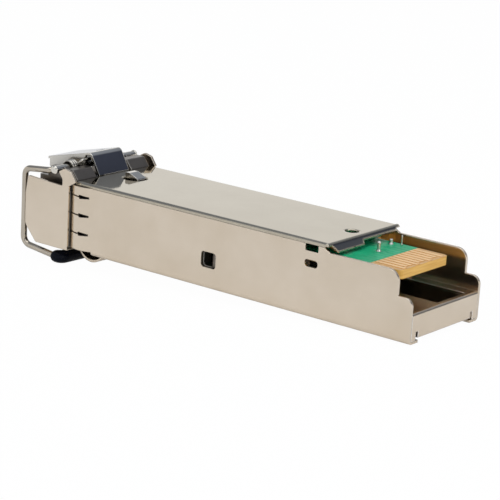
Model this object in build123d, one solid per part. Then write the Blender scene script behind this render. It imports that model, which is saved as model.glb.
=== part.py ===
from build123d import *
import os
from math import hypot

# Small form-factor optical transceiver, millimetres.
# +X runs to the host connector, -X to the fibre ports, +Z up through the latch side.
# The origin is on the label face (z = 0), in the middle of the length that goes into the cage.

# Housing envelope
body_width = 13.4
body_height = 8.5
rear_x = 23.75
body_length = 48.0
sheet = 0.3
fit = 0.1
corner_bend = 0.45

# Side walls of the chassis
wall_top_gap = 0.45
rear_wall_height = 7.6
rear_step_length = 1.85
rear_step_z = 4.95
rear_round_upper = 1.3
rear_round_lower = 0.95
snap_window_x = -3.3
snap_window_z = 3.33
snap_window_length = 2.1
snap_window_height = 1.8
snap_window_round = 0.35
side_slot_x = 10.7
side_slot_z = 5.95
side_slot_length = 1.75
side_slot_height = 0.8
top_notch_length = 1.75
top_notch_depth = 0.75
foot_width = 1.65
rear_notch_length = 2.2

# Spring fingers cut from the front end of the chassis
finger_length = 3.3
finger_bulge = 0.4
floor_finger_length = 4.0
floor_finger_bulge = 1.3
floor_finger_half = 5.1
side_slits = 3
side_slit_pitch = 2.22
side_slit_middle = 4.66
floor_slits = 3
floor_slit_pitch = 2.5
slit_width = 0.14
drop_length = 1.45
drop_width = 0.5
drop_tail_width = 0.22
slit_margin = 0.35

# Cover plate on the latch side
cover_rear_gap = 11.0
cover_front_x = -23.6
cover_bend = 0.38
lip_depth = 1.1
lip_reach = 0.45
lip_half_width = 6.1
lip_taper = 1.0
lip_step_y = -0.4
lip_step_height = 0.5
vent_x = 11.1
vent_diameter = 1.65
latch_hole_x = -20.4
latch_hole_diameter = 2.9
cover_tab_xs = (-14.0, 0.0, 7.5)
cover_tab_length = 2.4
cover_tab_depth = 1.6

# Rear tray under the board
tray_front_x = 11.9
shelf_z = 3.25
flange_floor_z = 0.53
tray_window_x = 18.9
tray_window_length = 8.2
tray_window_y = 2.1
tray_window_width = 5.4
tray_cheek_height = 1.5
tray_cheek_length = 3.0
hook_slot_y = 5.3
hook_slot_width = 0.45
hook_slot_height = 0.7

# Nose casting, with the rails that carry the board
nose_front_x = -31.0
nose_floor_z = 0.4
nose_top_z = 7.25
brow_half_width = 5.8
brow_top_z = 8.1
nose_chin = 1.4
nose_brow = 0.7
block_end_x = -21.4
channel_half_width = 3.1
shoulder_front_x = -25.9
shoulder_rear_x = -23.75
shoulder_foot_z = 8.5
shoulder_slant = 0.85
shoulder_top_z = 9.55
lug_half_width = 5.8
lug_thickness = 0.8
lug_front_x = -29.0
lug_rear_x = -26.1
lug_top_z = 9.6
rail_width = 1.25
rail_web = 0.4
rail_start_x = -14.2
rail_end_x = 9.4
snap_lug_height = 0.22
snap_lug_length = 0.7

# Nose shroud of folded sheet, with two hooked ears
shroud_step = 0.5
shroud_front_x = -31.3
shroud_top_z = 7.95
shroud_floor_z = 0.05
shroud_chin_x = -29.5
ear_top_z = 9.8

# Fibre ports
port_pitch = 6.25
port_width = 4.9
port_height = 5.1
port_z = 3.75
insert_front_x = -30.7
insert_rear_x = -21.5
insert_wall = 0.55
port_depth = 7.9
catch_width = 2.1
catch_depth = 0.4
catch_from_front = 2.0
catch_length = 2.6

# Optical subassemblies
fibre_bore = 1.25
sleeve_outer = 1.95
sleeve_length = 5.6
barrel_front_x = -26.2
barrel_length = 7.5
barrel_outer = 2.7
barrel_body = 3.3
barrel_groove = 2.6
groove_from_front = 5.7
groove_length = 0.7
can_outer = 4.6
can_length = 2.3
header_outer = 5.4
header_length = 1.1
lead_circle = 2.54
lead_diameter = 0.42
lead_length = 0.7
flex_thickness = 0.15
flex_width = 3.4
clip_thickness = 0.45
clip_half_width = 5.85
clip_top_z = 5.9

# Circuit board
board_top_z = 7.0
board_thickness = 1.0
board_front_x = -11.8
board_shoulder_x = 11.3
board_end_gap = 3.0
board_tongue_width = 9.2
board_width = 11.5
board_corner = 0.6
contact_count = 10
contact_pitch = 0.8
contact_width = 0.54
contact_length = 3.7
contact_thickness = 0.05
contact_end_gap = 0.12

# Chips and small components: middle x, middle y, length, width, height
driver_chip_size = (-7.2, -2.9, 4.0, 4.0, 0.8)
amplifier_chip_size = (-7.4, 3.1, 3.0, 3.0, 0.75)
controller_chip_size = (2.2, 0.0, 5.0, 5.0, 0.85)
memory_chip_size = (6.0, 0.0, 3.0, 4.4, 0.9)
capacitor_xs = (-3.0, -1.8, 6.4, 7.6)
capacitor_ys = (-4.4, 4.4)
resistor_xs = (-4.6, -3.4, 9.2, 10.4)
resistor_ys = (-1.6, 0.0, 1.6)
inductor_xs = (-2.2, 8.9)
inductor_y = -2.9
chip_part = (1.0, 0.5, 0.5)
inductor_size = (2.0, 1.25, 1.0)

# Bail
wire = 0.76
bail_half_width = 6.35
bail_pivot_x = -28.05
bail_pivot_z = 8.95
bail_front_x = -32.05
bail_top_z = 8.5
bail_low_z = -0.3
bail_bar_x = -26.3
bail_bar_z = -1.12
bail_bend = 0.9
bail_stub = 1.25
grip_outer = 1.8
grip_overhang = 0.6
grip_corner = 0.3

# Latch lever, its pin and spring
pin_x = -26.9
pin_z = 9.3
pin_diameter = 0.9
pin_head = 1.05
pin_head_length = 0.3
lever_half_width = 2.6
lever_front_x = -32.15
lever_front_z = 9.45
lever_peak_x = -25.2
lever_peak_z = 11.1
lever_foot_x = -23.87
lever_foot_z = 8.6
lever_bend = 0.35
tongue_top_z = 8.02
tongue_end_x = -19.35
tongue_half_width = 1.0
cheek_rear_x = -26.1
cheek_floor_z = 8.75
cheek_front_z = 8.25
boss_shoulder_x = -21.3
boss_length = 1.95
boss_half_width = 0.75
boss_top_z = 9.2
boss_tail_z = 8.65
lever_slot_x = -26.4
lever_slot_length = 0.35
lever_slot_width = 1.5
spring_wire = 0.3
wire_sides = 12
spring_wire_sides = 6
spring_coil = 1.5
spring_turns = 3
spring_pitch = 0.34
spring_y = -4.85
spring_leg_x = -25.6
spring_leg_z = 10.45
spring_toe_y = -1.2

# Worked out from the sizes above
half_width = body_width / 2
shroud_half_width = half_width + shroud_step
nose_half_width = shroud_half_width - sheet - fit / 2
pin_half_length = shroud_half_width - sheet
grip_half_length = bail_half_width + grip_overhang
inner_half = half_width - sheet
wall_top = body_height - wall_top_gap
cover_floor = body_height - sheet
stop_x = rear_x - body_length
finger_tip_x = stop_x - fit / 2
finger_root_x = finger_tip_x + finger_length
floor_root_x = finger_tip_x + floor_finger_length
cover_rear_x = rear_x - cover_rear_gap
board_end_x = rear_x - board_end_gap
board_floor_z = board_top_z - board_thickness
port_y = port_pitch / 2
barrel_rear_x = barrel_front_x + barrel_length
can_rear_x = barrel_rear_x + can_length + header_length
clip_x = barrel_front_x + groove_from_front + groove_length / 2
side_slit_zs = [side_slit_middle + (i - (side_slits - 1) / 2) * side_slit_pitch for i in range(side_slits)]
floor_slit_ys = [(i - (floor_slits - 1) / 2) * floor_slit_pitch for i in range(floor_slits)]


def box(x0, x1, y0, y1, z0, z1):
    """A block between two corners."""
    return Pos((x0 + x1) / 2, (y0 + y1) / 2, (z0 + z1) / 2) * Box(x1 - x0, y1 - y0, z1 - z0)


def wide(x0, x1, half, z0, z1):
    """A block that is even about the middle plane."""
    return box(x0, x1, -half, half, z0, z1)


def flank(corners, y0, y1):
    """A side view of (x, z, corner radius), carried from y0 to y1."""
    line = FilletPolyline(*[(x, y0, z) for x, z, r in corners],
                          radius=[r for x, z, r in corners], close=True)
    return extrude(make_face(line), amount=y1 - y0, dir=(0, 1, 0))


def plan(corners, z0, z1):
    """A top view of (x, y, corner radius), carried from z0 to z1."""
    line = FilletPolyline(*[(x, y, z0) for x, y, r in corners],
                          radius=[r for x, y, r in corners], close=True)
    return extrude(make_face(line), amount=z1 - z0, dir=(0, 0, 1))


def mirrored(solid):
    """The same shape on the other side of the middle plane."""
    return mirror(solid, Plane.XZ)


def rod(x, y, z, length, diameter, axis):
    """A round bar that starts at a point and runs along X, Y or Z."""
    turn = {"x": Rot(0, 90, 0), "y": Rot(-90, 0, 0), "z": Rot(0, 0, 0)}[axis]
    return Pos(x, y, z) * turn * Cylinder(diameter / 2, length, align=(Align.CENTER, Align.CENTER, Align.MIN))


def side_window(x, z, length, height, corner):
    """A rounded cutter that passes through both side walls."""
    left, right, low, high = x - length / 2, x + length / 2, z - height / 2, z + height / 2
    corners = [(left, low, corner), (right, low, corner), (right, high, corner), (left, high, corner)]
    return flank(corners, -half_width - 1, half_width + 1)


def slit_corners(across, root_x):
    """A narrow slit from the finger tips that ends in a drop, blunt end first."""
    tail_x = root_x - slit_margin
    drop_x = tail_x - drop_length
    half = [(finger_tip_x - 1, slit_width / 2, 0), (drop_x, slit_width / 2, 0),
            (drop_x, drop_width / 2, drop_width * 0.28), (tail_x, drop_tail_width / 2, 0)]
    return ([(x, across - offset, r) for x, offset, r in half]
            + [(x, across + offset, r) for x, offset, r in reversed(half)])


# Chassis: one folded sheet that makes the label face, both walls and the spring fingers
def finger_strip(root_x, bulge):
    """The bowed front end of a wall, seen along the wall and lying on y = 0."""
    middle_x = (finger_tip_x + root_x) / 2
    outer = ThreePointArc((root_x, 0), (middle_x, bulge), (finger_tip_x, 0))
    inner = ThreePointArc((finger_tip_x, -sheet), (middle_x, bulge - sheet), (root_x, -sheet))
    bow = make_face([outer, Line(outer @ 1, inner @ 0), inner, Line(inner @ 1, outer @ 0)])
    return bow + Pos(root_x, -sheet / 2) * Rectangle(2 * slit_margin, sheet)


def chassis_shell():
    wall = [(finger_root_x, 0, 0), (rear_x, 0, 0), (rear_x, rear_step_z, rear_round_lower),
            (rear_x - rear_step_length, rear_step_z, 0),
            (rear_x - rear_step_length, rear_wall_height, rear_round_upper),
            (cover_rear_x + sheet, rear_wall_height, 0.3), (cover_rear_x - 0.5, wall_top, 0.3),
            (finger_root_x, wall_top, 0)]
    block = flank(wall, -half_width, half_width)
    bottom_edges = block.edges().filter_by(Axis.X).group_by(Axis.Z)[0]
    block = fillet(bottom_edges, corner_bend)
    hollow = wide(finger_root_x - 1, rear_x + 1, inner_half, sheet, body_height + 1)
    hollow = fillet(hollow.edges().filter_by(Axis.X).group_by(Axis.Z)[0], corner_bend - sheet)
    shell = block - hollow
    # The label face stops short of the rear and leaves a foot under each wall
    shell -= wide(rear_x - rear_notch_length, rear_x + 1, half_width - foot_width, -1, sheet + fit)
    # Openings in the walls
    shell -= side_window(snap_window_x, snap_window_z, snap_window_length, snap_window_height,
                         snap_window_round)
    shell -= side_window(side_slot_x, side_slot_z, side_slot_length, side_slot_height,
                         side_slot_height * 0.45)
    shell -= side_window(side_slot_x, wall_top - top_notch_depth + 1, top_notch_length, 2, 0.1)
    # Bowed fingers on the walls and, longer and deeper, on the label face
    strip = Pos(0, half_width, corner_bend) * finger_strip(finger_root_x, finger_bulge)
    side = extrude(strip, amount=wall_top - corner_bend, dir=(0, 0, 1))
    strip = Pos(0, -floor_finger_half, 0) * Rot(-90, 0, 0) * finger_strip(floor_root_x, floor_finger_bulge)
    floor = extrude(strip, amount=2 * floor_finger_half, dir=(0, 1, 0))
    for z in side_slit_zs:
        side -= flank(slit_corners(z, finger_root_x), half_width - 1, half_width + 1)
    for y in floor_slit_ys:
        floor -= plan(slit_corners(y, floor_root_x), -floor_finger_bulge - 1, sheet + 1)
    # The label face is cut back to the root of its fingers
    shell -= wide(finger_root_x - 1, floor_root_x, floor_finger_half + fit, -1, sheet + fit)
    return shell + side + mirrored(side) + floor


# Cover: a plate with its long edges folded over the walls and a lip at the rear
def top_cover():
    block = wide(cover_front_x, cover_rear_x, half_width, wall_top + 0.03, body_height)
    block = fillet(block.edges().filter_by(Axis.X).group_by(Axis.Z)[-1], cover_bend)
    plate = block - wide(cover_front_x - 1, cover_rear_x + 1, inner_half, 0, cover_floor)
    # The lip leans out over the board, with tapered ends, and is shorter beyond the step
    lip_floor = body_height - lip_depth
    lip_start = cover_rear_x - sheet
    lip_end = cover_rear_x + lip_reach
    lip = flank([(lip_start, cover_floor, 0), (lip_start, body_height, 0), (cover_rear_x, body_height, sheet),
                 (lip_end, lip_floor, 0), (lip_end - sheet, lip_floor, 0), (lip_start, cover_floor - 0.1, 0)],
                -half_width, half_width)
    ends = [(-half_width, body_height + 1, 0), (-half_width, cover_floor, 0),
            (-lip_half_width, cover_floor, 0), (-lip_half_width + lip_taper, lip_floor - 0.1, 0.3),
            (lip_half_width - lip_taper / 2, lip_floor - 0.1, 0.5), (lip_half_width, cover_floor, 0),
            (half_width, cover_floor, 0), (half_width, body_height + 1, 0)]
    line = FilletPolyline(*[(cover_rear_x - 1, y, z) for y, z, r in ends],
                          radius=[r for y, z, r in ends], close=True)
    lip &= extrude(make_face(line), amount=3, dir=(1, 0, 0))
    lip -= box(cover_rear_x - 1, cover_rear_x + 1, lip_step_y, half_width, 0, lip_floor + lip_step_height)
    plate = plate - wide(lip_start, cover_rear_x + 1, half_width + 1, 0, body_height + 1) + lip
    plate -= rod(vent_x, 0, cover_floor - 1, 3, vent_diameter, "z")
    plate -= rod(latch_hole_x, 0, cover_floor - 1, 3, latch_hole_diameter, "z")
    for x in cover_tab_xs:
        tab = box(x - cover_tab_length / 2, x + cover_tab_length / 2, inner_half - fit / 2 - sheet,
                  inner_half - fit / 2, cover_floor - cover_tab_depth, cover_floor)
        plate = plate + tab + mirrored(tab)
    return plate


# Tray: a shelf under the board that turns down into the rear flange
def rear_tray():
    half = inner_half - fit / 2
    side = [(tray_front_x, shelf_z - sheet, 0), (rear_x - sheet, shelf_z - sheet, 0.1),
            (rear_x - sheet, flange_floor_z, 0), (rear_x, flange_floor_z, 0),
            (rear_x, shelf_z, sheet), (tray_front_x, shelf_z, 0)]
    tray = flank(side, -half, half)
    tray -= box(tray_window_x - tray_window_length / 2, tray_window_x + tray_window_length / 2,
                tray_window_y - tray_window_width / 2, tray_window_y + tray_window_width / 2,
                shelf_z - 1, shelf_z + 1)
    for y in (-hook_slot_y, hook_slot_y):
        tray -= box(rear_x - 1, rear_x + 1, y - hook_slot_width / 2, y + hook_slot_width / 2,
                    flange_floor_z - 1, flange_floor_z + hook_slot_height)
        toe_end = half if y > 0 else -half
        toe_start = y + hook_slot_width / 2 if y > 0 else y - hook_slot_width / 2
        tray += box(rear_x - sheet, rear_x, min(toe_start, toe_end), max(toe_start, toe_end),
                    sheet, flange_floor_z)
    cheek = flank([(tray_front_x, shelf_z, 0), (tray_front_x + tray_cheek_length, shelf_z, 0),
                   (tray_front_x + tray_cheek_length, shelf_z + tray_cheek_height, 0.6),
                   (tray_front_x, shelf_z + tray_cheek_height, 0)], half - sheet, half)
    return tray + cheek + mirrored(cheek)


# Casting: the nose block, the latch shoulders and lugs, and two rails for the board
def nose_casting():
    inside = inner_half - fit
    nose = flank([(nose_front_x, nose_floor_z + nose_chin, 0.3),
                  (nose_front_x + nose_chin, nose_floor_z, 0.3),
                  (stop_x - fit, nose_floor_z, 0), (stop_x - fit, nose_top_z, 0),
                  (nose_front_x + nose_brow, nose_top_z, 0.3),
                  (nose_front_x, nose_top_z - nose_brow, 0.3)], -nose_half_width, nose_half_width)
    brow = wide(nose_front_x + nose_brow, stop_x - fit, brow_half_width, nose_top_z - 1, brow_top_z)
    block = wide(stop_x - fit, block_end_x, inside, nose_floor_z, wall_top)
    casting = nose + brow + block
    shoulder = flank([(shoulder_front_x, nose_top_z, 0), (shoulder_rear_x, nose_top_z, 0),
                      (shoulder_rear_x, shoulder_foot_z, 0.1),
                      (shoulder_rear_x - shoulder_slant, shoulder_top_z, 0.25),
                      (shoulder_front_x, shoulder_top_z, 0.25)], channel_half_width, inside)
    lug_round = (lug_rear_x - lug_front_x) / 2 - 0.2
    lug = flank([(lug_front_x, nose_top_z, 0), (lug_rear_x, nose_top_z, 0),
                 (lug_rear_x, lug_top_z, lug_round / 2), (lug_front_x, lug_top_z, lug_round)],
                lug_half_width - lug_thickness, lug_half_width)
    casting = casting + shoulder + mirrored(shoulder) + lug + mirrored(lug)
    rail = plan([(block_end_x, inside - rail_web, 0), (rail_start_x, inside - rail_web, 0.3),
                 (rail_start_x, inside - rail_width, 0), (rail_end_x, inside - rail_width, 0),
                 (rail_end_x, inside, 0), (block_end_x, inside, 0)], nose_floor_z, board_floor_z)
    # Behind the snap window the rail is open, apart from the ramp that the wall snaps on
    rail -= side_window(snap_window_x, snap_window_z, snap_window_length - 2 * fit,
                        snap_window_height - 2 * fit, snap_window_round)
    window_rear = snap_window_x + snap_window_length / 2
    low = snap_window_z - snap_window_height / 2 + fit
    ramp = plan([(window_rear - snap_lug_length, inside - rail_web, 0), (window_rear, inside - rail_web, 0),
                 (window_rear, inside, 0), (window_rear - fit, inside + snap_lug_height, 0),
                 (window_rear - snap_lug_length, inside, 0)], low, low + snap_window_height - 2 * fit)
    casting = casting + rail + mirrored(rail) + ramp + mirrored(ramp)
    # The ports, the latch channel and the bores for the bail and the pin
    insert_half = port_y + port_width / 2 + insert_wall + fit / 2
    casting -= wide(nose_front_x - 1, block_end_x + 1, insert_half,
                    port_z - port_height / 2 - insert_wall - fit / 2,
                    port_z + port_height / 2 + insert_wall + fit / 2)
    casting -= wide(nose_front_x - 1, block_end_x + 1, channel_half_width,
                    port_z + port_height / 2, body_height + 4)
    casting -= rod(pin_x, -nose_half_width - 1, pin_z, 2 * nose_half_width + 2, pin_diameter + 0.06, "y")
    casting -= rod(bail_pivot_x, -nose_half_width - 1, bail_pivot_z, 2 * nose_half_width + 2,
                   wire + fit, "y")
    return casting


# Shroud: folded sheet round the nose, with an ear on each side that hooks the pin
def nose_shroud():
    side = [(shroud_front_x + 0.35, shroud_top_z, 0.2), (shroud_front_x, shroud_top_z - 2.1, 1.2),
            (shroud_front_x, shroud_floor_z + 2.0, 1.0), (shroud_chin_x, shroud_floor_z, 0.4),
            (stop_x - fit, shroud_floor_z, 0), (stop_x - fit, shroud_top_z - 0.15, 0.1),
            (stop_x + 1.0, ear_top_z - 1.35, 0.15), (stop_x + 0.2, ear_top_z - 0.25, 0.35),
            (stop_x - 0.85, ear_top_z, 0.5), (stop_x - 1.75, ear_top_z - 0.5, 0.15),
            (stop_x - 1.1, ear_top_z - 1.3, 0.5), (stop_x - 1.1, shroud_top_z - 0.25, 0.15)]
    plate = flank(side, shroud_half_width - sheet, shroud_half_width)
    floor = wide(shroud_chin_x + 0.3, stop_x - fit, shroud_half_width - sheet / 2,
                 shroud_floor_z, shroud_floor_z + sheet)
    return plate + mirrored(plate) + floor


# Port insert: a moulded block with two fibre ports, each with a catch pocket
def port_insert():
    half = port_y + port_width / 2 + insert_wall
    low = port_z - port_height / 2
    block = wide(insert_front_x, insert_rear_x, half, low - insert_wall, low + port_height + insert_wall)
    block = chamfer(block.faces().sort_by(Axis.X)[0].edges(), 0.15)
    for y in (-port_y, port_y):
        block -= box(insert_front_x - 1, insert_front_x + port_depth, y - port_width / 2,
                     y + port_width / 2, low, low + port_height)
        block -= box(insert_front_x + catch_from_front, insert_front_x + catch_from_front + catch_length,
                     y - catch_width / 2, y + catch_width / 2, low - catch_depth, low + 1)
        block -= box(insert_front_x - 1, insert_front_x + catch_from_front, y - catch_width / 2,
                     y + catch_width / 2, low - catch_depth / 2, low + 1)
        block -= rod(insert_front_x, y, port_z, insert_rear_x - insert_front_x + 1, barrel_body + fit, "x")
    return block


# Optical subassembly: a turned barrel, its ceramic sleeve, the can, the leads and a flex strip
def turned(profile):
    """A solid turned about the X axis from (x, diameter) steps."""
    points = [(profile[0][0], 0)]
    for x, diameter in profile:
        points.append((x, diameter / 2))
    points.append((profile[-1][0], 0))
    return revolve(make_face(Polyline(*points, close=True)), Axis.X)


def osa_barrel(y):
    groove = barrel_front_x + groove_from_front
    step = insert_front_x + port_depth + fit / 2
    profile = [(barrel_front_x, barrel_outer - 0.3), (barrel_front_x + 0.15, barrel_outer),
               (step, barrel_outer), (step, barrel_body - 0.02), (groove, barrel_body - 0.02),
               (groove, barrel_groove), (groove + groove_length, barrel_groove),
               (groove + groove_length, can_outer - 0.4), (barrel_rear_x, can_outer - 0.4)]
    body = turned(profile)
    body -= rod(barrel_front_x - 1, 0, 0, 1 + sleeve_length + fit, sleeve_outer, "x")
    return Pos(0, y, port_z) * body


def osa_sleeve(y):
    tube = rod(barrel_front_x + fit, y, port_z, sleeve_length, sleeve_outer, "x")
    return tube - rod(barrel_front_x, y, port_z, sleeve_length + 1, fibre_bore, "x")


def osa_can(y):
    can = rod(barrel_rear_x, y, port_z, can_length, can_outer, "x")
    can = chamfer(can.edges().sort_by(Axis.X)[0], 0.25)
    can += rod(barrel_rear_x + can_length, y, port_z, header_length, header_outer, "x")
    for dy, dz in ((0, 1), (1, 0), (0, -1), (-1, 0)):
        can += rod(can_rear_x, y + dy * lead_circle / 2, port_z + dz * lead_circle / 2, lead_length,
                   lead_diameter, "x")
    return can


def osa_flex(y):
    """A thin strip that takes the leads, turns over and lands on the board."""
    x0 = can_rear_x + lead_length / 2
    low = port_z - lead_circle / 2 - 0.5
    high = board_top_z + 0.35
    landing = board_top_z + flex_thickness / 2
    run = FilletPolyline((x0, y, low), (x0, y, high), (board_front_x - 0.6, y, high),
                         (board_front_x + 0.1, y, landing), (board_front_x + 1.6, y, landing),
                         radius=[0.5, 0.3, 0.3])
    section = Plane(origin=(x0, y, low), z_dir=(0, 0, 1), x_dir=(1, 0, 0))
    strip = sweep(section * Rectangle(flex_thickness, flex_width), path=run)
    for dy, dz in ((0, 1), (1, 0), (0, -1), (-1, 0)):
        strip -= rod(x0 - 1, y + dy * lead_circle / 2, port_z + dz * lead_circle / 2, 2,
                     lead_diameter + 0.04, "x")
    return strip


def osa_clip():
    """A stamped plate that drops into the grooves of both barrels."""
    low = port_z - barrel_body / 2 - 1.2
    plate = wide(clip_x - clip_thickness / 2, clip_x + clip_thickness / 2, clip_half_width, low, clip_top_z)
    plate = fillet(plate.edges().filter_by(Axis.X), 0.4)
    for y in (-port_y, port_y):
        plate -= rod(clip_x - 1, y, port_z, 2, barrel_groove + 0.06, "x")
        plate -= box(clip_x - 1, clip_x + 1, y - barrel_groove / 2 - 0.03, y + barrel_groove / 2 + 0.03,
                     low - 1, port_z)
    return plate


# Circuit board, its contacts and its components
def main_board():
    half, tongue = board_width / 2, board_tongue_width / 2
    corners = [(board_front_x, -half, 0.4), (board_shoulder_x, -half, 0.4), (board_shoulder_x, -tongue, 0.3),
               (board_end_x, -tongue, board_corner), (board_end_x, tongue, board_corner),
               (board_shoulder_x, tongue, 0.3), (board_shoulder_x, half, 0.4), (board_front_x, half, 0.4)]
    return plan(corners, board_floor_z, board_top_z)


def contact_pads(z):
    """Ten plated contacts in a row; every third one is longer, to mate first."""
    pads = []
    for i in range(contact_count):
        y = (i - (contact_count - 1) / 2) * contact_pitch
        early = 0.0 if i % 3 == 0 else 0.35
        end = board_end_x - contact_end_gap - early
        pads.append(box(end - contact_length + early, end, y - contact_width / 2, y + contact_width / 2,
                        z, z + contact_thickness))
    return Compound(children=pads)


def chip(size, underside):
    """A moulded package: a block with drafted top edges."""
    x, y, length, width, height = size
    z = board_floor_z - height if underside else board_top_z
    body = box(x - length / 2, x + length / 2, y - width / 2, y + width / 2, z, z + height)
    free_face = body.faces().sort_by(Axis.Z)[0 if underside else -1]
    return chamfer(free_face.edges(), 0.12)


def chip_row(xs, ys, size):
    """Like components on the latch side of the board, one solid each."""
    length, width, height = size
    return Compound(children=[box(x - length / 2, x + length / 2, y - width / 2, y + width / 2,
                                  board_top_z, board_top_z + height) for x in xs for y in ys])


# Bail: one bent wire with a moulded grip on its cross bar
def bail_sweep(diameter):
    """A round section, drawn with flats, carried along the bail's bends."""
    y = bail_half_width
    stub = y - bail_stub
    half = [(bail_pivot_x, stub, bail_pivot_z), (bail_pivot_x, y, bail_pivot_z),
            (bail_front_x, y, bail_top_z), (bail_front_x, y, bail_low_z), (bail_bar_x, y, bail_bar_z)]
    points = half + [(x, -py, z) for x, py, z in reversed(half)]
    radii = [0.45, bail_bend, bail_bend, bail_bend]
    path = FilletPolyline(*points, radius=radii + radii[::-1])
    section = Plane(origin=points[0], z_dir=(0, 1, 0)) * RegularPolygon(diameter / 2, wire_sides)
    return sweep(section, path=path)


def bail_grip():
    grip = rod(bail_bar_x, -grip_half_length, bail_bar_z, 2 * grip_half_length, grip_outer, "y")
    grip = chamfer(grip.edges().filter_by(GeomType.CIRCLE), grip_corner)
    return grip - bail_sweep(wire + fit / 2)


# Latch lever: a stamped strip that bridges the nose, dips under the cover and ends in the latch boss
def latch_lever():
    slope = (lever_peak_z - lever_front_z) / (lever_peak_x - lever_front_x)
    drop = sheet * hypot(1, slope)
    strip = flank([(lever_front_x, lever_front_z, 0), (lever_front_x, lever_front_z - drop, 0),
                   (lever_peak_x - 0.22, lever_peak_z - drop, lever_bend),
                   (lever_foot_x - 0.2, lever_foot_z, 0), (lever_foot_x - 0.2, tongue_top_z - sheet, 0.2),
                   (tongue_end_x, tongue_top_z - sheet, 0), (tongue_end_x, tongue_top_z, 0),
                   (lever_foot_x + 0.16, tongue_top_z, 0.1), (lever_foot_x + 0.13, lever_foot_z, 0),
                   (lever_peak_x, lever_peak_z, lever_bend + sheet)], -lever_half_width, lever_half_width)
    # The tongue is narrower than the bridge
    for side in (-1, 1):
        y0, y1 = sorted((side * tongue_half_width, side * (lever_half_width + 1)))
        strip -= box(lever_foot_x + 0.2, tongue_end_x + 1, y0, y1, tongue_top_z - 1, tongue_top_z + 1)
    strip -= box(lever_slot_x - lever_slot_length / 2, lever_slot_x + lever_slot_length / 2,
                 -0.4, lever_slot_width - 0.4, lever_peak_z - 2, lever_peak_z + 1)
    top_at_cheek = lever_front_z + slope * (cheek_rear_x - lever_front_x)
    cheek = flank([(lever_front_x + 0.25, lever_front_z - drop / 2, 0),
                   (lever_front_x + 0.25, cheek_front_z, 0.2), (pin_x - 2.4, cheek_front_z, 0.3),
                   (pin_x - 1.6, cheek_floor_z, 0.3),
                   (pin_x, cheek_floor_z - 0.1, 0.4), (cheek_rear_x, cheek_floor_z + 0.3, 0.4),
                   (cheek_rear_x, top_at_cheek - drop / 2, 0)], lever_half_width - sheet, lever_half_width)
    strip = strip + cheek + mirrored(cheek)
    strip -= rod(pin_x, -lever_half_width - 1, pin_z, 2 * lever_half_width + 2, pin_diameter + 0.08, "y")
    boss_end_x = boss_shoulder_x + boss_length
    boss = flank([(boss_shoulder_x, tongue_top_z - fit, 0), (boss_end_x, tongue_top_z - fit, 0),
                  (boss_end_x, boss_tail_z, 0.2), (boss_shoulder_x + 0.7, boss_top_z, 0.3),
                  (boss_shoulder_x, boss_top_z, 0.12)], -boss_half_width, boss_half_width)
    return strip + boss


def lever_pin():
    shaft = rod(pin_x, -pin_half_length, pin_z, 2 * pin_half_length, pin_diameter, "y")
    head = rod(pin_x, pin_half_length, pin_z, pin_head_length, pin_head, "y")
    head = chamfer(head.edges().sort_by(Axis.Y)[-1], pin_head_length * 0.6)
    return shaft + head + mirrored(head)


def return_spring():
    """A torsion spring on the pin: a close coil whose leg reaches under the lever."""
    radius = spring_coil / 2
    height = spring_turns * spring_pitch
    coil = Helix(spring_pitch, height, radius, center=(pin_x, spring_y, pin_z), direction=(0, 1, 0))
    section = Plane(origin=coil @ 0, z_dir=coil % 0) * RegularPolygon(spring_wire / 2, spring_wire_sides)
    body = sweep(section, path=coil, is_frenet=True)
    top = coil @ 1
    leg = FilletPolyline(top, (spring_leg_x, top.Y, spring_leg_z), (spring_leg_x, spring_toe_y, spring_leg_z),
                         radius=0.3)
    section = Plane(origin=leg @ 0, z_dir=leg % 0) * RegularPolygon(spring_wire / 2, spring_wire_sides)
    return body + sweep(section, path=leg)


pieces = {
    "chassis_shell": chassis_shell(),
    "top_cover": top_cover(),
    "rear_tray": rear_tray(),
    "nose_casting": nose_casting(),
    "nose_shroud": nose_shroud(),
    "port_insert": port_insert(),
    "osa_clip": osa_clip(),
    "main_board": main_board(),
    "contacts_latch_side": contact_pads(board_top_z),
    "contacts_label_side": contact_pads(board_floor_z - contact_thickness),
    "driver_chip": chip(driver_chip_size, False),
    "amplifier_chip": chip(amplifier_chip_size, False),
    "controller_chip": chip(controller_chip_size, False),
    "memory_chip": chip(memory_chip_size, True),
    "capacitors": chip_row(capacitor_xs, capacitor_ys, chip_part),
    "resistors": chip_row(resistor_xs, resistor_ys, chip_part),
    "inductors": chip_row(inductor_xs, (inductor_y,), inductor_size),
    "bail_wire": bail_sweep(wire),
    "bail_grip": bail_grip(),
    "latch_lever": latch_lever(),
    "lever_pin": lever_pin(),
    "return_spring": return_spring(),
}
for name, y in (("transmit", -port_y), ("receive", port_y)):
    pieces[name + "_barrel"] = osa_barrel(y)
    pieces[name + "_sleeve"] = osa_sleeve(y)
    pieces[name + "_can"] = osa_can(y)
    pieces[name + "_flex"] = osa_flex(y)

os.makedirs("parts", exist_ok=True)
for name, piece in pieces.items():
    export_step(piece, "parts/" + name + ".step")
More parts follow.
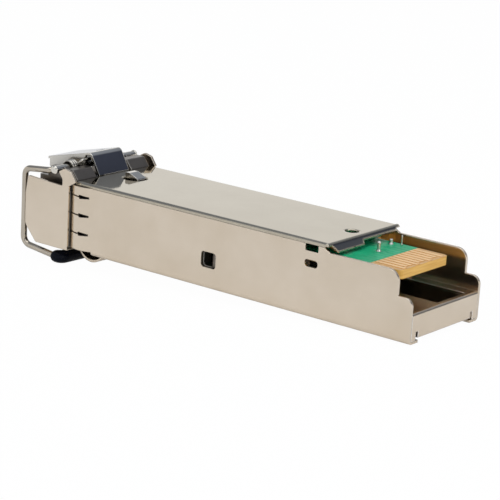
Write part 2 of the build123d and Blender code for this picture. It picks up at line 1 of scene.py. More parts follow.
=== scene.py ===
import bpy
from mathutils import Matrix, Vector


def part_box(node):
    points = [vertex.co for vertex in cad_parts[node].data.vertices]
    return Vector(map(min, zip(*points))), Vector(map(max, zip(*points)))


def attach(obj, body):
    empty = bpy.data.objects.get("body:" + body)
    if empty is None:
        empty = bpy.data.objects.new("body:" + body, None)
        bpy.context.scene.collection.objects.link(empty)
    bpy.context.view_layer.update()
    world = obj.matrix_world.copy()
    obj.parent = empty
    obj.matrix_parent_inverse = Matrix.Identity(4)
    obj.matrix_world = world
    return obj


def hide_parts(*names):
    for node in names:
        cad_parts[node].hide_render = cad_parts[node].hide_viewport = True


bl_info = {
    "name": "Optical transceiver looks",
    "version": (1, 0, 0),
    "blender": (4, 5, 0),
    "location": "View3D > Sidebar > Transceiver",
    "description": "Dresses a packed small form-factor optical transceiver with its real finishes",
    "category": "Object",
}

from itertools import accumulate
from math import cos, pi, radians, sin

import bpy
import numpy as np
from bpy.props import FloatProperty, FloatVectorProperty, IntProperty, PointerProperty
from mathutils import Matrix, Vector

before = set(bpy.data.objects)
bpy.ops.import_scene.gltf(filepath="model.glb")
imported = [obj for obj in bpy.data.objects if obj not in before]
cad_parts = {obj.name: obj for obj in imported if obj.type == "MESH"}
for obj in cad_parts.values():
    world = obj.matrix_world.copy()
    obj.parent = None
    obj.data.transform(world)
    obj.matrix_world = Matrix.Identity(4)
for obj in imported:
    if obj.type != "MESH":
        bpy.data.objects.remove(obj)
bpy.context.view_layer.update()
MM = 0.001


def srgb(code):
    """An sRGB hex colour as linear RGBA: each channel through the sRGB curve."""
    channels = np.array([int(code[i:i + 2], 16) for i in (1, 3, 5)]) / 255
    straight = np.where(channels <= 0.04045, channels / 12.92, ((channels + 0.055) / 1.055) ** 2.4)
    return (*straight.tolist(), 1.0)


def add(tree, kind, inputs=None, stops=(), **settings):
    """Adds a node with its settings; an input is a value, or an output socket to link from.
    The stops of a colour ramp are (position, hex colour) pairs."""
    made = tree.nodes.new("ShaderNode" + kind)
    for key, value in settings.items():
        setattr(made, key, value)
    for key, value in (inputs or {}).items():
        if isinstance(value, bpy.types.NodeSocket):
            tree.links.new(value, made.inputs[key])
        else:
            made.inputs[key].default_value = value
    # A new ramp has two stops already
    for _ in stops[2:]:
        made.color_ramp.elements.new(0.5)
    for i, (position, code) in enumerate(stops):
        made.color_ramp.elements[i].position = position
        made.color_ramp.elements[i].color = srgb(code)
    return made


def fresh_material(name):
    """An empty material, its tree and its output node."""
    material = bpy.data.materials.new(name)
    material.use_nodes = True
    tree = material.node_tree
    tree.nodes.clear()
    return material, tree, add(tree, "OutputMaterial")


def rolled_metal(name, tone, dark_tone, roughness, bevel_mm, lines_per_mm=(0.4, 12, 12),
                 line_depth=0.06, highlight_colour="#F4EFE6", highlight_share=0.4, recess_shade=0.0, recess_shade_mm=1.6, metallic=1.0):
    """A plated or drawn metal: a soft change of tone, lines at their number to the millimetre
    along X, Y and Z, a painted edge highlight, and a share of painted shade in its recesses.
    Real rolling lines are finer: they are drawn as coarse as they need to be to show."""
    material, tree, output = fresh_material(name)
    place = add(tree, "TexCoord").outputs["Object"]
    lines = add(tree, "Mapping", {"Vector": place, "Scale": [n / MM for n in lines_per_mm]})
    line_noise = add(tree, "TexNoise", {"Vector": lines.outputs["Vector"], "Scale": 1.0,
                                        "Detail": 3.0}).outputs["Fac"]
    cloud_mm = 6.25
    cloud = add(tree, "TexNoise", {"Vector": place, "Scale": 1 / (cloud_mm * MM), "Detail": 4.0,
                                   "Roughness": 0.6})
    tint = add(tree, "ValToRGB", {"Fac": cloud.outputs["Fac"]},
               stops=[(0.3, dark_tone), (0.7, tone)]).outputs["Color"]
    # The corner of a sheet gets a painted highlight, so it is brighter than the flat. It is
    # where the rounded normal leaves the flat one: their product falls from 1
    rounded = add(tree, "Bevel", {"Radius": bevel_mm * MM}, samples=6).outputs["Normal"]
    flat = add(tree, "NewGeometry").outputs["Normal"]
    facing = add(tree, "VectorMath", {0: rounded, 1: flat}, operation="DOT_PRODUCT")
    painted_highlight = add(tree, "MapRange", {"Value": facing.outputs["Value"], "From Min": 0.97,
                                  "From Max": 0.80, "To Max": highlight_share})
    colour = add(tree, "MixRGB", {"Fac": painted_highlight.outputs["Result"], "Color1": tint,
                                  "Color2": srgb(highlight_colour)}).outputs["Color"]
    if recess_shade:
        # The painted shade lies where less than four fifths of the air around a point is open
        open_air = add(tree, "AmbientOcclusion", {"Distance": recess_shade_mm * MM}, samples=8)
        shade = add(tree, "MapRange", {"Value": open_air.outputs["AO"], "From Min": 0.8,
                                       "From Max": 0.35, "To Max": recess_shade})
        colour = add(tree, "MixRGB", {"Fac": shade.outputs["Result"], "Color1": colour,
                                      "Color2": srgb("#17161A")}).outputs["Color"]
    rough = add(tree, "MapRange", {"Value": line_noise, "To Min": roughness * 0.8,
                                   "To Max": roughness * 1.25})
    bump = add(tree, "Bump", {"Height": line_noise, "Strength": line_depth,
                              "Distance": 0.01 * MM, "Normal": rounded})
    shader = add(tree, "BsdfPrincipled", {"Base Color": colour, "Metallic": metallic,
                                          "Roughness": rough.outputs["Result"],
                                          "Normal": bump.outputs["Normal"]})
    tree.links.new(shader.outputs["BSDF"], output.inputs["Surface"])
    return material


def moulded_plastic(name, tone, light_tone, roughness, texture_mm, bevel_mm, ior=1.5, depth=0.12):
    """A moulded, fired or cast surface: a fine texture at its size in millimetres and soft
    corners."""
    material, tree, output = fresh_material(name)
    place = add(tree, "TexCoord").outputs["Object"]
    fine = add(tree, "TexNoise", {"Vector": place, "Scale": 1 / (texture_mm * MM),
                                  "Detail": 2.0}).outputs["Fac"]
    tint = add(tree, "ValToRGB", {"Fac": fine}, stops=[(0.35, tone), (0.75, light_tone)])
    rounded = add(tree, "Bevel", {"Radius": bevel_mm * MM}, samples=6)
    bump = add(tree, "Bump", {"Height": fine, "Strength": depth, "Distance": 0.02 * MM,
                              "Normal": rounded.outputs["Normal"]})
    rough = add(tree, "MapRange", {"Value": fine, "To Min": roughness * 0.85,
                                   "To Max": roughness * 1.2})
    shader = add(tree, "BsdfPrincipled", {"Base Color": tint.outputs["Color"],
                                          "Roughness": rough.outputs["Result"], "IOR": ior,
                                          "Normal": bump.outputs["Normal"]})
    tree.links.new(shader.outputs["BSDF"], output.inputs["Surface"])
    return material


def mask_end_x():
    """Where the solder mask ends, in metres: a little before the CAD contacts."""
    gap_mm = 0.12
    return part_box("contacts_latch_side")[0].x - gap_mm * MM


def solder_masked_board(name):
    """Glass epoxy with green mask on both faces; the cut edges and the contact end show bare
    laminate."""
    material, tree, output = fresh_material(name)
    place = add(tree, "TexCoord").outputs["Object"]
    axes = add(tree, "SeparateXYZ", {"Vector": place})
    normal = add(tree, "SeparateXYZ", {"Vector": add(tree, "NewGeometry").outputs["Normal"]})
    # The mask stops where the contacts start
    bare_end = add(tree, "Math", {0: axes.outputs["X"], 1: mask_end_x()},
                   operation="GREATER_THAN")
    # A cut edge is a face that leans by more than 53 degrees, whose cosine is 0.6
    upright = add(tree, "Math", {0: normal.outputs["Z"]}, operation="ABSOLUTE")
    cut = add(tree, "Math", {0: upright.outputs["Value"], 1: 0.6},
              operation="LESS_THAN").outputs["Value"]
    bare = add(tree, "Math", {0: bare_end.outputs["Value"], 1: cut}, operation="MAXIMUM")
    # The weave of the glass cloth shows faintly through the mask, which varies over 2 mm
    cloth_mm, cloud_mm = 0.4, 2.0
    cloth = add(tree, "TexChecker", {"Vector": place, "Scale": 1 / (cloth_mm * MM)})
    cloud = add(tree, "TexNoise", {"Vector": place, "Scale": 1 / (cloud_mm * MM), "Detail": 3.0})
    green = add(tree, "ValToRGB", {"Fac": cloud.outputs["Fac"]},
                stops=[(0.3, "#169C69"), (0.7, "#22B27D")])
    mask = add(tree, "MixRGB", {"Fac": 0.05, "Color1": green.outputs["Color"],
                                "Color2": cloth.outputs["Color"]}, blend_type="OVERLAY")
    # The plies lie flat, nine to the millimetre, and show as bands in a cut edge
    plies_per_mm = (0.3, 0.3, 9)
    layers = add(tree, "Mapping", {"Vector": place, "Scale": [n / MM for n in plies_per_mm]})
    plies = add(tree, "TexNoise", {"Vector": layers.outputs["Vector"], "Scale": 1.0,
                                   "Detail": 2.0}).outputs["Fac"]
    laminate = add(tree, "ValToRGB", {"Fac": plies}, stops=[(0.3, "#D9A44E"), (0.7, "#EBBE6C")])
    resin = add(tree, "MixRGB", {"Fac": cut, "Color1": srgb("#D2A468"),
                                 "Color2": laminate.outputs["Color"]})
    colour = add(tree, "MixRGB", {"Fac": bare.outputs["Value"], "Color1": mask.outputs["Color"],
                                  "Color2": resin.outputs["Color"]})
    rounded = add(tree, "Bevel", {"Radius": 0.05 * MM}, samples=6)
    bump = add(tree, "Bump", {"Height": plies, "Strength": 0.1, "Distance": 0.01 * MM,
                              "Normal": rounded.outputs["Normal"]})
    shader = add(tree, "BsdfPrincipled", {"Base Color": colour.outputs["Color"],
                                          "Roughness": 0.3, "IOR": 1.22,
                                          "Normal": bump.outputs["Normal"]})
    tree.links.new(shader.outputs["BSDF"], output.inputs["Surface"])
    return material


def make_materials():
    """The real finishes, by name."""
    nickel, nickel_dark = "#DBCDBA", "#D2C3AE"
    # Changes to the millimetre along X, Y and Z: lines lie along the axes with small numbers
    even, fine_skin = (1, 1, 1), (7, 7, 7)
    lines_along_y, rings_round_x = (14, 1, 14), (14, 1, 1)
    # Every metal below gets a painted highlight on its edges, and some get painted shade in their
    # recesses
    return {
        # Nickel-plated mild steel, rolled: a warm satin that spreads the reflection of the bench
        "nickel_sheet": rolled_metal("satin_nickel_sheet", nickel, nickel_dark, 0.2, 0.18,
                                     highlight_share=0.15),
        # The shelf is cut from the same satin stock, with a white painted highlight on its sheared
        # edges
        "tray_sheet": rolled_metal("sheared_nickel_sheet", nickel, nickel_dark, 0.24, 0.15,
                                   highlight_colour="#FFFFFF", highlight_share=1.0),
        # The same plate on bright-rolled stock: near mirror, so the lever shows in the cover
        "cover_sheet": rolled_metal("bright_nickel_sheet", "#BAB2A0", "#B3AA98", 0.06, 0.34,
                                    line_depth=0.03, highlight_share=0.1),
        # Bright nickel-plated strip, pressed: a mirror with painted shade in its folds
        "lever_sheet": rolled_metal("bright_nickel_strip", "#DAD6CD", "#CFCAC0", 0.10, 0.12,
                                    line_depth=0.03, recess_shade=0.85, recess_shade_mm=5.0),
        # Zinc casting with dull nickel: a fine cast skin that scatters part of the light, and
        # painted shade in its recesses
        "zinc_casting": rolled_metal("nickel_plated_zinc", "#837D75", "#726C65", 0.30, 0.18,
                                     fine_skin, line_depth=0.2, recess_shade=0.6, metallic=0.92),
        # Stainless wire drawn through a die: a high polish with soft changes along it
        "wire_steel": rolled_metal("drawn_stainless_wire", "#C4BAAA", "#A9A092", 0.13, 0.05, even),
        # Bright spring wire, coiled: the same polish, with painted shade between its turns
        "spring_steel": rolled_metal("bright_spring_wire", "#C9C5BC", "#B0ABA2", 0.16, 0.03, even,
                                     recess_shade=0.8),
        # Turned steel finished along its length: pale, with lines that spread its highlight
        "pin_steel": rolled_metal("turned_steel_pin", "#E2DED3", "#D2CDC2", 0.22, 0.12,
                                  lines_along_y),
        # Stainless steel turned in a lathe: fine rings round the barrel
        "barrel_steel": rolled_metal("turned_stainless_barrel", "#C9C5BE", "#B4B0A8", 0.22, 0.08,
                                     rings_round_x),
        # Pressed can with thin gold plate: pale yellow and softly shining, with a pale gold
        # painted highlight on its edges
        "can_metal": rolled_metal("gold_plated_can", "#E0BE78", "#CDA860", 0.25, 0.1,
                                  highlight_colour="#F0DCA8"),
        # Hard gold plated over nickel: warm and smooth, with a paler painted highlight on its
        # edges
        "contact_gold": rolled_metal("hard_gold_contact", "#FBCF8E", "#F0C07C", 0.24, 0.02,
                                     (0.6, 9, 9), highlight_colour="#FFE7BC"),
        # Solder left by hot-air levelling: soft white metal
        "tin_solder": rolled_metal("levelled_tin", "#D9D9D4", "#C4C4C0", 0.28, 0.05, (3, 3, 3)),
        # Nylon moulded in a polished tool: near black. The low index keeps its shine weak
        "grip_plastic": moulded_plastic("glossy_black_nylon", "#01030D", "#040716", 0.28, 0.25,
                                        0.15, ior=1.2),
        # Polyester moulded in a spark-eroded tool: matt black
        "port_plastic": moulded_plastic("matt_black_pbt", "#101216", "#1B1D22", 0.55, 0.08, 0.1),
        # Epoxy moulded round a chip: a matt, slightly grey black
        "chip_resin": moulded_plastic("moulded_epoxy", "#17181B", "#24262A", 0.6, 0.06, 0.06),
        # Ground zirconia: dense, white and glossy
        "sleeve_ceramic": moulded_plastic("ground_zirconia", "#E9E4D8", "#F4F1E8", 0.2, 0.3, 0.05,
                                          ior=2.1, depth=0.03),
        # Cast polyimide film: smooth and amber
        "flex_film": moulded_plastic("polyimide_film", "#A8641A", "#C98A34", 0.25, 0.5, 0.04,
                                     ior=1.7, depth=0.05),
        # Fired ceramic body of a chip capacitor: matt tan
        "capacitor_ceramic": moulded_plastic("barium_titanate", "#8F6F4C", "#A88562", 0.45, 0.05,
                                             0.04),
        # Alumina with a black glass coat: small and shiny
        "resistor_ceramic": moulded_plastic("glass_coated_alumina", "#17181A", "#232427", 0.3,
                                            0.05, 0.04),
        # Pressed and sintered ferrite: matt dark grey
        "inductor_ferrite": moulded_plastic("sintered_ferrite", "#33343A", "#484A50", 0.5, 0.04,
                                            0.05),
        # Laminated glass epoxy under a printed mask: a satin green, amber where it is cut
        "board_laminate": solder_masked_board("green_masked_glass_epoxy"),
    }


node_finish = {
    "chassis_shell": "nickel_sheet", "top_cover": "cover_sheet", "rear_tray": "tray_sheet",
    "nose_casting": "zinc_casting", "nose_shroud": "nickel_sheet", "port_insert": "port_plastic",
    "osa_clip": "lever_sheet", "main_board": "board_laminate",
    "contacts_latch_side": "contact_gold", "contacts_label_side": "contact_gold",
    "driver_chip": "chip_resin", "amplifier_chip": "chip_resin",
    "controller_chip": "chip_resin", "memory_chip": "chip_resin",
    "capacitors": "capacitor_ceramic", "resistors": "resistor_ceramic",
    "inductors": "inductor_ferrite", "bail_wire": "wire_steel", "bail_grip": "grip_plastic",
    "latch_lever": "lever_sheet", "lever_pin": "pin_steel", "return_spring": "spring_steel",
    "transmit_barrel": "barrel_steel", "receive_barrel": "barrel_steel",
    "transmit_sleeve": "sleeve_ceramic", "receive_sleeve": "sleeve_ceramic",
    "transmit_can": "can_metal", "receive_can": "can_metal",
    "transmit_flex": "flex_film", "receive_flex": "flex_film",
}
finish = {}


def surface(name, grid, finish_name, wrap=False):
    """A mesh from an (n, m, 3) grid in millimetres: row i is a ring or a strip, and each cell is
    one quad. With wrap the rings close on themselves and have a flat face on both ends."""
    n, m, _ = grid.shape
    i, j = np.meshgrid(np.arange(n - 1), np.arange(m if wrap else m - 1), indexing="ij")
    k = (j + 1) % m
    quads = np.stack([i * m + j, i * m + k, (i + 1) * m + k, (i + 1) * m + j], -1)
    faces = quads.reshape(-1, 4).tolist()
    if wrap:
        faces += [list(range(m))[::-1], list(range((n - 1) * m, n * m))]
    mesh = bpy.data.meshes.new(name)
    mesh.from_pydata((grid.reshape(-1, 3) * MM).tolist(), [], faces)
    mesh.polygons.foreach_set("use_smooth", [True] * len(mesh.polygons))
    mesh.materials.append(finish[finish_name])
    piece = bpy.data.objects.new(name, mesh)
    bpy.context.scene.collection.objects.link(piece)
    return piece


def joined(pieces):
    """One object from several, named as the first, with its normals turned outwards."""
    bpy.ops.object.select_all(action="DESELECT")
    for piece in pieces:
        piece.select_set(True)
    bpy.context.view_layer.objects.active = pieces[0]
    if len(pieces) > 1:
        bpy.ops.object.join()
    bpy.ops.object.mode_set(mode="EDIT")
    bpy.ops.mesh.select_all(action="SELECT")
    bpy.ops.mesh.normals_make_consistent(inside=False)
    bpy.ops.object.mode_set(mode="OBJECT")
    return pieces[0]


def bent_route(corners, radii, steps):
    """A path of straight runs joined by arcs: at each corner the arc of its radius touches both
    runs, and the steps are the points on it."""
    corners = [np.array(c, float) for c in corners]
    path = [corners[0][None]]
    for before, corner, after, radius in zip(corners, corners[1:], corners[2:], radii):
        u = (before - corner) / np.linalg.norm(before - corner)
        v = (after - corner) / np.linalg.norm(after - corner)
        half = np.arccos(np.clip(u @ v, -1, 1)) / 2
        middle = (u + v) / np.linalg.norm(u + v)
        centre = corner + middle * radius / np.sin(half)
        start = corner + u * radius / np.tan(half) - centre
        angle = np.linspace(0, pi - 2 * half, steps)[:, None]
        path.append(centre + start * np.cos(angle) - u * radius * np.sin(angle))
    path.append(corners[-1][None])
    return np.concatenate(path)


def tube_grid(path, radius, around, step=0.12):
    """A circle of the radius carried along the path at even steps in millimetres, its frame
    turned as little as it can be: each side is the last one less its part along the path."""
    length = np.append(0, np.cumsum(np.linalg.norm(np.diff(path, axis=0), axis=1)))
    at = np.linspace(0, length[-1], int(length[-1] / step) + 2)
    path = np.stack([np.interp(at, length, path[:, i]) for i in range(3)], 1)
    tangent = np.gradient(path, axis=0)
    tangent /= np.linalg.norm(tangent, axis=1, keepdims=True)
    # The first side is square to the path and to a direction that no path starts along
    first = np.cross(tangent[0], (0.31, 0.77, 0.55))

    def carried(side, along):
        side = side - (side @ along) * along
        return side / np.linalg.norm(side)

    side = np.array(list(accumulate(tangent, carried, initial=first))[1:])
    up = np.cross(tangent, side)
    angle = np.linspace(0, 2 * pi, around, endpoint=False)[None, :, None]
    return path[:, None] + radius * (np.cos(angle) * side[:, None] + np.sin(angle) * up[:, None])


def turned_grid(heights, radii, centre, around):
    """Rings of the radii at the heights, turned about an upright axis through the centre."""
    angle = np.linspace(0, 2 * pi, around, endpoint=False)
    grid = np.empty((len(heights), around, 3))
    grid[..., 0] = radii[:, None] * np.cos(angle)
    grid[..., 1] = radii[:, None] * np.sin(angle)
    grid[..., 2] = heights[:, None]
    return grid + np.array(centre)


class FinishSettings(bpy.types.PropertyGroup):
    """Sizes of the dressed pieces."""
    wire_mm: FloatProperty(name="Bail wire", default=0.76, min=0.3, max=1.5,
                           description="Diameter of the bail wire in millimetres")
    grip_mm: FloatProperty(name="Grip", default=1.64, min=1.0, max=3.0,
                           description="Diameter of the moulded grip in millimetres")
    spring_wire_mm: FloatProperty(name="Spring wire", default=0.3, min=0.1, max=0.6,
                                  description="Diameter of the spring's wire in millimetres")
    track_mm: FloatProperty(name="Track", default=0.22, min=0.05, max=0.5,
                            description="Width of a copper track under the mask in millimetres")
    wire_sides: IntProperty(name="Wire sides", default=28, min=8, max=64,
                            description="Faces round the bail's wire and grip")


class StageSettings(bpy.types.PropertyGroup):
    """The studio."""
    floor_colour: FloatVectorProperty(name="Floor", description="Colour of the floor",
                                      subtype="COLOR", size=4, default=srgb("#F6F6F6"),
                                      min=0, max=1)
    key_watts: FloatProperty(name="Key lamp", description="Power of the overhead lamp",
                             default=1.25, unit="POWER")
    fill_watts: FloatProperty(name="Fill lamps", default=0.16, unit="POWER",
                              description="Power of each lamp in front and beyond the contacts")


class TRANSCEIVER_OT_housing(bpy.types.Operator):
    """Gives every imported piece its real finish"""
    bl_idname = "transceiver.housing"
    bl_label = "Finish the packed pieces"

    def execute(self, context):
        finish.update(make_materials())
        for name, slot in node_finish.items():
            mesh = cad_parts[name].data
            mesh.materials.clear()
            mesh.materials.append(finish[slot])
        return {"FINISHED"}


class TRANSCEIVER_OT_bail(bpy.types.Operator):
    """Builds the bail wire and its moulded grip"""
    bl_idname = "transceiver.bail"
    bl_label = "Build the bail"

    def execute(self, context):
        sizes = context.scene.transceiver_finish
        # Places of the wire's centre: the hinge in the lugs, the upright legs and the cross bar
        y, bend_steps, low_bend = 6.35, 14, 0.9
        hinge_x, hinge_z = -28.05, 8.95
        leg_x, bar_x, bar_z = -32.25, -26.3, -1.37
        half = [(hinge_x, -5.1, hinge_z), (hinge_x, -y, hinge_z), (leg_x, -y, 8.48),
                (leg_x, -y, -0.75), (bar_x, -y, bar_z)]
        corners = half + [(x, -py, z) for x, py, z in reversed(half)]
        radii = [0.45, 0.9, 1.1, low_bend]
        path = bent_route(corners, radii + radii[::-1], bend_steps)
        wire = tube_grid(path, sizes.wire_mm / 2, sizes.wire_sides)
        piece = joined([surface("bail_loop", wire, "wire_steel", wrap=True)])
        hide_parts("bail_wire")
        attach(piece, "bail")
        # The grip wraps both lower bends; its radius swells along the bar and rounds off at both
        # ends: r(t) = R (0.92 + 0.08 (1 - t^6)) (1 - |t|^30)^(1/2), with t from -1 to 1 along
        # the wire, and the last ring a fifth as wide, so that a small flat face closes it
        end_x, end_z = -27.4, -1.25
        ends = [(end_x, -y, end_z), (bar_x, -y, bar_z), (bar_x, y, bar_z), (end_x, y, end_z)]
        route = bent_route(ends, [low_bend, low_bend], bend_steps)
        grid = tube_grid(route, 1.0, sizes.wire_sides, step=0.05)
        t = np.linspace(-1, 1, len(grid))
        swell = 0.92 + 0.08 * (1 - t ** 6)
        radius = sizes.grip_mm / 2 * swell * np.maximum(1 - np.abs(t) ** 30, 0.04) ** 0.5
        middle = grid.mean(axis=1, keepdims=True)
        grid = middle + (grid - middle) * radius[:, None, None]
        piece = joined([surface("moulded_grip", grid, "grip_plastic", wrap=True)])
        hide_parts("bail_grip")
        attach(piece, "bail")
        return {"FINISHED"}


class TRANSCEIVER_OT_spring(bpy.types.Operator):
    """Builds the torsion spring on the lever's pin"""
    bl_idname = "transceiver.spring"
    bl_label = "Build the spring"

    def execute(self, context):
        sizes = context.scene.transceiver_finish
        # A helix round the pin: x = r cos a, y = pitch a / 2 pi and z = -r sin a
        turns, pitch, radius, wire_sides = 3, 0.34, 0.75, 12
        centre = np.array((-26.9, -4.85, 9.3))
        angle = np.linspace(0, 2 * pi * turns, 40 * turns)
        helix = [radius * np.cos(angle), pitch * angle / (2 * pi), -radius * np.sin(angle)]
        coil = centre + np.stack(helix, 1)
        # Its leg runs back from the last turn and then across, above the lever
        top = coil[-1]
        leg_x, leg_z, leg_end_y, leg_bend, bend_steps = -25.6, 10.28, -1.2, 0.3, 8
        corners = [top, (leg_x, top[1], leg_z), (leg_x, leg_end_y, leg_z)]
        leg = bent_route(corners, [leg_bend], bend_steps)
        wire = tube_grid(np.concatenate([coil, leg[1:]]), sizes.spring_wire_mm / 2, wire_sides)
        piece = joined([surface("coil_spring", wire, "spring_steel", wrap=True)])
        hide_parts("return_spring")
        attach(piece, "module")
        return {"FINISHED"}


class TRANSCEIVER_OT_board(bpy.types.Operator):
    """Adds the tracks and the tinned posts at the contact end of the board"""
    bl_idname = "transceiver.board"
    bl_label = "Dress the board"

    def execute(self, context):
        sizes = context.scene.transceiver_finish
        board_z = 7.0
        start = mask_end_x() / MM
        # Each track leads away from its contact, jogs to one side and runs on. Across its width,
        # with s from -1 to 1, it lifts the mask by 20 microns on a section of 1 - s^4
        count, pitch, length, jog, bend, bend_steps = 10, 0.8, 4.5, 0.45, 0.4, 5
        clear, lift = 0.004, 0.02
        s = np.linspace(-1, 1, 9)
        tracks = []
        for i in range(count):
            y = (i - (count - 1) / 2) * pitch
            # Five lengths before the jog, in a mixed order, and the jogs turn left and right
            run = 1.2 + 0.5 * ((i * 7) % 5)
            far_y = y + (jog if i % 2 else -jog)
            corners = [(start, y, board_z), (start - run, y, board_z),
                       (start - run - jog, far_y, board_z),
                       (start - run - length, far_y, board_z)]
            centre = bent_route(corners, [bend, bend], bend_steps)
            grid = np.repeat(centre[:, None], len(s), 1)
            grid[..., 1] += s * sizes.track_mm / 2
            grid[..., 2] += clear + lift * (1 - s ** 4)
            tracks.append(surface("board_tracks", grid, "board_laminate"))
        piece = joined(tracks)
        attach(piece, "module")
        # A tinned post with a foot of solder: the radius falls off as an exponential above the
        # pad, and the tip is half as wide. Each row is x, y, width and height
        rows = ((14.8, -0.1, 0.5, 1.15), (13.9, 3.6, 0.5, 0.6), (14.9, 4.2, 0.22, 1.1))
        foot, rings, post_sides = 0.1, 14, 20
        posts = []
        for x, y, width, height in rows:
            rise = np.linspace(0.002, height, rings)
            radius = width / 2 * (0.8 + 0.5 * np.exp(-rise / foot))
            radius[-1] = width / 4
            grid = turned_grid(rise, radius, (x, y, board_z), post_sides)
            posts.append(surface("board_posts", grid, "tin_solder", wrap=True))
        piece = joined(posts)
        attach(piece, "module")
        return {"FINISHED"}


class TRANSCEIVER_OT_stage(bpy.types.Operator):
    """Sets the camera, the floor, the lamps and the background"""
    bl_idname = "transceiver.stage"
    bl_label = "Set the stage"

    def execute(self, context):
        scene = context.scene
        stage = scene.transceiver_stage
        scene.view_settings.view_transform = "Standard"
        place_camera(scene)
        place_floor(stage)
        place_lamps(stage)
        light_world(scene)
        return {"FINISHED"}


def place_camera(scene):
    """A long lens at the photograph's view, from a solve on the module's standard sizes."""
    azimuth, elevation, roll = radians(37.48), radians(15.09), radians(3.36)
    target = Vector((-2.67, 0.0, 3.44)) * MM
    distance = 212.15 * MM
    # The solve gives the focal length in pixels of the 500-pixel frame
    focal_pixels, frame_pixels = 1868.95, 500
    back = Vector((sin(azimuth) * cos(elevation), -cos(azimuth) * cos(elevation), sin(elevation)))
    right = Vector((cos(azimuth), sin(azimuth), 0))
    up = back.cross(right)
    turned_right = right * cos(roll) + up * sin(roll)
    turned_up = up * cos(roll) - right * sin(roll)
    data = bpy.data.cameras.new("photo_camera")
    data.sensor_width = 36
    data.lens = focal_pixels * data.sensor_width / frame_pixels
    data.clip_start, data.clip_end = 0.01, 20
    camera = bpy.data.objects.new("photo_camera", data)
    axes = Matrix((turned_right, turned_up, back)).transposed().to_4x4()
    axes.translation = target + back * distance
    camera.matrix_world = axes
    scene.collection.objects.link(camera)
    scene.camera = camera


def place_floor(stage):
    """A wide sheet that touches the grip and the rear edge, which is how the module lies on a
    bench: z = (x - the rear edge's x) times the tangent of the lean. A share of its own white
    glow keeps it pale, a quarter in the metal's reflections and nearly all to the camera, and
    only the rest is matt and takes the shadow."""
    lean, rear_edge_x, half_width = radians(2.53), 23.75 * MM, 3.0
    seen_share, camera_extra = 0.26, 0.72
    x, y = np.meshgrid(*[np.linspace(-half_width, half_width, 3)] * 2, indexing="ij")
    z = (x - rear_edge_x) * np.tan(lean)
    material, tree, output = fresh_material("pale_card")
    matt = add(tree, "BsdfDiffuse", {"Color": tuple(stage.floor_colour)})
    glow = add(tree, "Emission", {"Color": srgb("#FFFFFF"), "Strength": 1.0})
    camera = add(tree, "Math", {0: add(tree, "LightPath").outputs["Is Camera Ray"],
                                1: camera_extra}, operation="MULTIPLY")
    share = add(tree, "Math", {0: seen_directly(tree), 1: seen_share,
                               2: camera.outputs["Value"]}, operation="MULTIPLY_ADD")
    mixed = add(tree, "MixShader", {"Fac": share.outputs["Value"], 1: matt.outputs["BSDF"],
                                    2: glow.outputs["Emission"]})
    tree.links.new(mixed.outputs["Shader"], output.inputs["Surface"])
    finish["pale_card"] = material
    floor = surface("bench_card", np.stack([x, y, z], -1) / MM, "pale_card")


def seen_directly(tree):
    """1 for a ray from the camera or a mirror or glass, and 0 for light that bounces off matt
    surfaces."""
    path = add(tree, "LightPath")
    glossy = add(tree, "Math", {0: path.outputs["Is Camera Ray"],
                                1: path.outputs["Is Glossy Ray"]}, operation="MAXIMUM")
    return add(tree, "Math", {0: glossy.outputs["Value"],
                              1: path.outputs["Is Transmission Ray"]},
               operation="MAXIMUM").outputs["Value"]


def place_lamps(stage):
    """Soft boxes that face the module: one overhead, one in front on the camera's side, and one
    beyond the contact end. Each row is a name, a place and a size in metres, and a power."""
    for name, place, size, watts in (
            ("overhead_box", (0.10, -0.05, 0.45), 0.55, stage.key_watts),
            ("front_box", (-0.12, -0.26, 0.28), 0.30, stage.fill_watts),
            ("rear_box", (0.36, -0.02, 0.12), 0.16, stage.fill_watts)):
        data = bpy.data.lights.new(name, "AREA")
        data.size = size
        data.energy = watts
        lamp = bpy.data.objects.new(name, data)
        lamp.location = place
        lamp.rotation_euler = (-Vector(place)).to_track_quat("-Z", "Y").to_euler()
        bpy.context.scene.collection.objects.link(lamp)


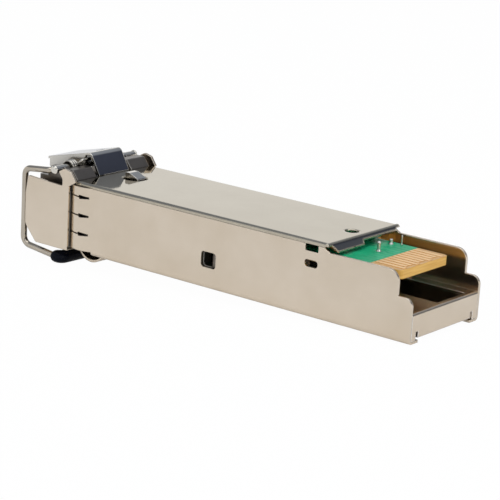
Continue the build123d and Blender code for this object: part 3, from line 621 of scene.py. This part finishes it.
def light_world(scene):
    """White to the camera. To the metal it is a white sweep up to 18 degrees over the horizon
    and a grey room above it, with a dark corner beyond the far side of the contact end."""
    world = bpy.data.worlds.new("white_sweep")
    world.use_nodes = True
    tree = world.node_tree
    tree.nodes.clear()
    direction = add(tree, "SeparateXYZ", {"Vector": add(tree, "TexCoord").outputs["Generated"]})
    # Heights go from 0 straight down over 0.5 at the horizon to 1 overhead
    height = add(tree, "MapRange", {"Value": direction.outputs["Z"], "From Min": -1.0,
                                    "From Max": 1.0}).outputs["Result"]
    bright = add(tree, "ValToRGB", {"Fac": height}, stops=[
        (0.0, "#FFFFFF"), (0.655, "#FFFFFF"), (0.69, "#A8ADB6"), (0.78, "#A0A6B0"),
        (0.86, "#8A92A2"), (1.0, "#B4B8BE")])
    dark = add(tree, "ValToRGB", {"Fac": height}, stops=[
        (0.0, "#FFFFFF"), (0.53, "#FFFFFF"), (0.60, "#5A6378"), (0.655, "#282D42"),
        (0.75, "#454B5C"), (0.83, "#8A91A0"), (1.0, "#B4B8BE")])
    aside = add(tree, "MapRange", {"Value": direction.outputs["X"], "From Min": 0.1,
                                   "From Max": 0.45})
    beyond = add(tree, "MapRange", {"Value": direction.outputs["Y"], "From Min": 0.45,
                                    "From Max": 0.66})
    corner = add(tree, "Math", {0: aside.outputs["Result"], 1: beyond.outputs["Result"]},
                 operation="MULTIPLY")
    room = add(tree, "MixRGB", {"Fac": corner.outputs["Value"], "Color1": bright.outputs["Color"],
                                "Color2": dark.outputs["Color"]})
    path = add(tree, "LightPath")
    shown = add(tree, "MixRGB", {"Fac": path.outputs["Is Camera Ray"],
                                 "Color1": room.outputs["Color"], "Color2": srgb("#FFFFFF")})
    glow = add(tree, "Background", {"Color": shown.outputs["Color"], "Strength": 1.0})
    output = add(tree, "OutputWorld")
    tree.links.new(glow.outputs["Background"], output.inputs["Surface"])
    scene.world = world


class TRANSCEIVER_PT_panel(bpy.types.Panel):
    """Lists the steps and their settings"""
    bl_label = "Optical transceiver"
    bl_idname = "TRANSCEIVER_PT_panel"
    bl_space_type = "VIEW_3D"
    bl_region_type = "UI"
    bl_category = "Transceiver"

    def draw(self, context):
        for group in (context.scene.transceiver_finish, context.scene.transceiver_stage):
            for key in group.__annotations__:
                self.layout.prop(group, key)
        for step in steps:
            self.layout.operator(step.bl_idname)


steps = (TRANSCEIVER_OT_housing, TRANSCEIVER_OT_bail, TRANSCEIVER_OT_spring, TRANSCEIVER_OT_board,
         TRANSCEIVER_OT_stage)
classes = (FinishSettings, StageSettings, *steps, TRANSCEIVER_PT_panel)


def register():
    for cls in classes:
        bpy.utils.register_class(cls)
    bpy.types.Scene.transceiver_finish = PointerProperty(type=FinishSettings)
    bpy.types.Scene.transceiver_stage = PointerProperty(type=StageSettings)


def unregister():
    del bpy.types.Scene.transceiver_stage
    del bpy.types.Scene.transceiver_finish
    for cls in reversed(classes):
        bpy.utils.unregister_class(cls)


def main():
    register()
    bpy.ops.transceiver.housing()
    bpy.ops.transceiver.bail()
    bpy.ops.transceiver.spring()
    bpy.ops.transceiver.board()
    bpy.ops.transceiver.stage()


if __name__ == "__main__":
    main()
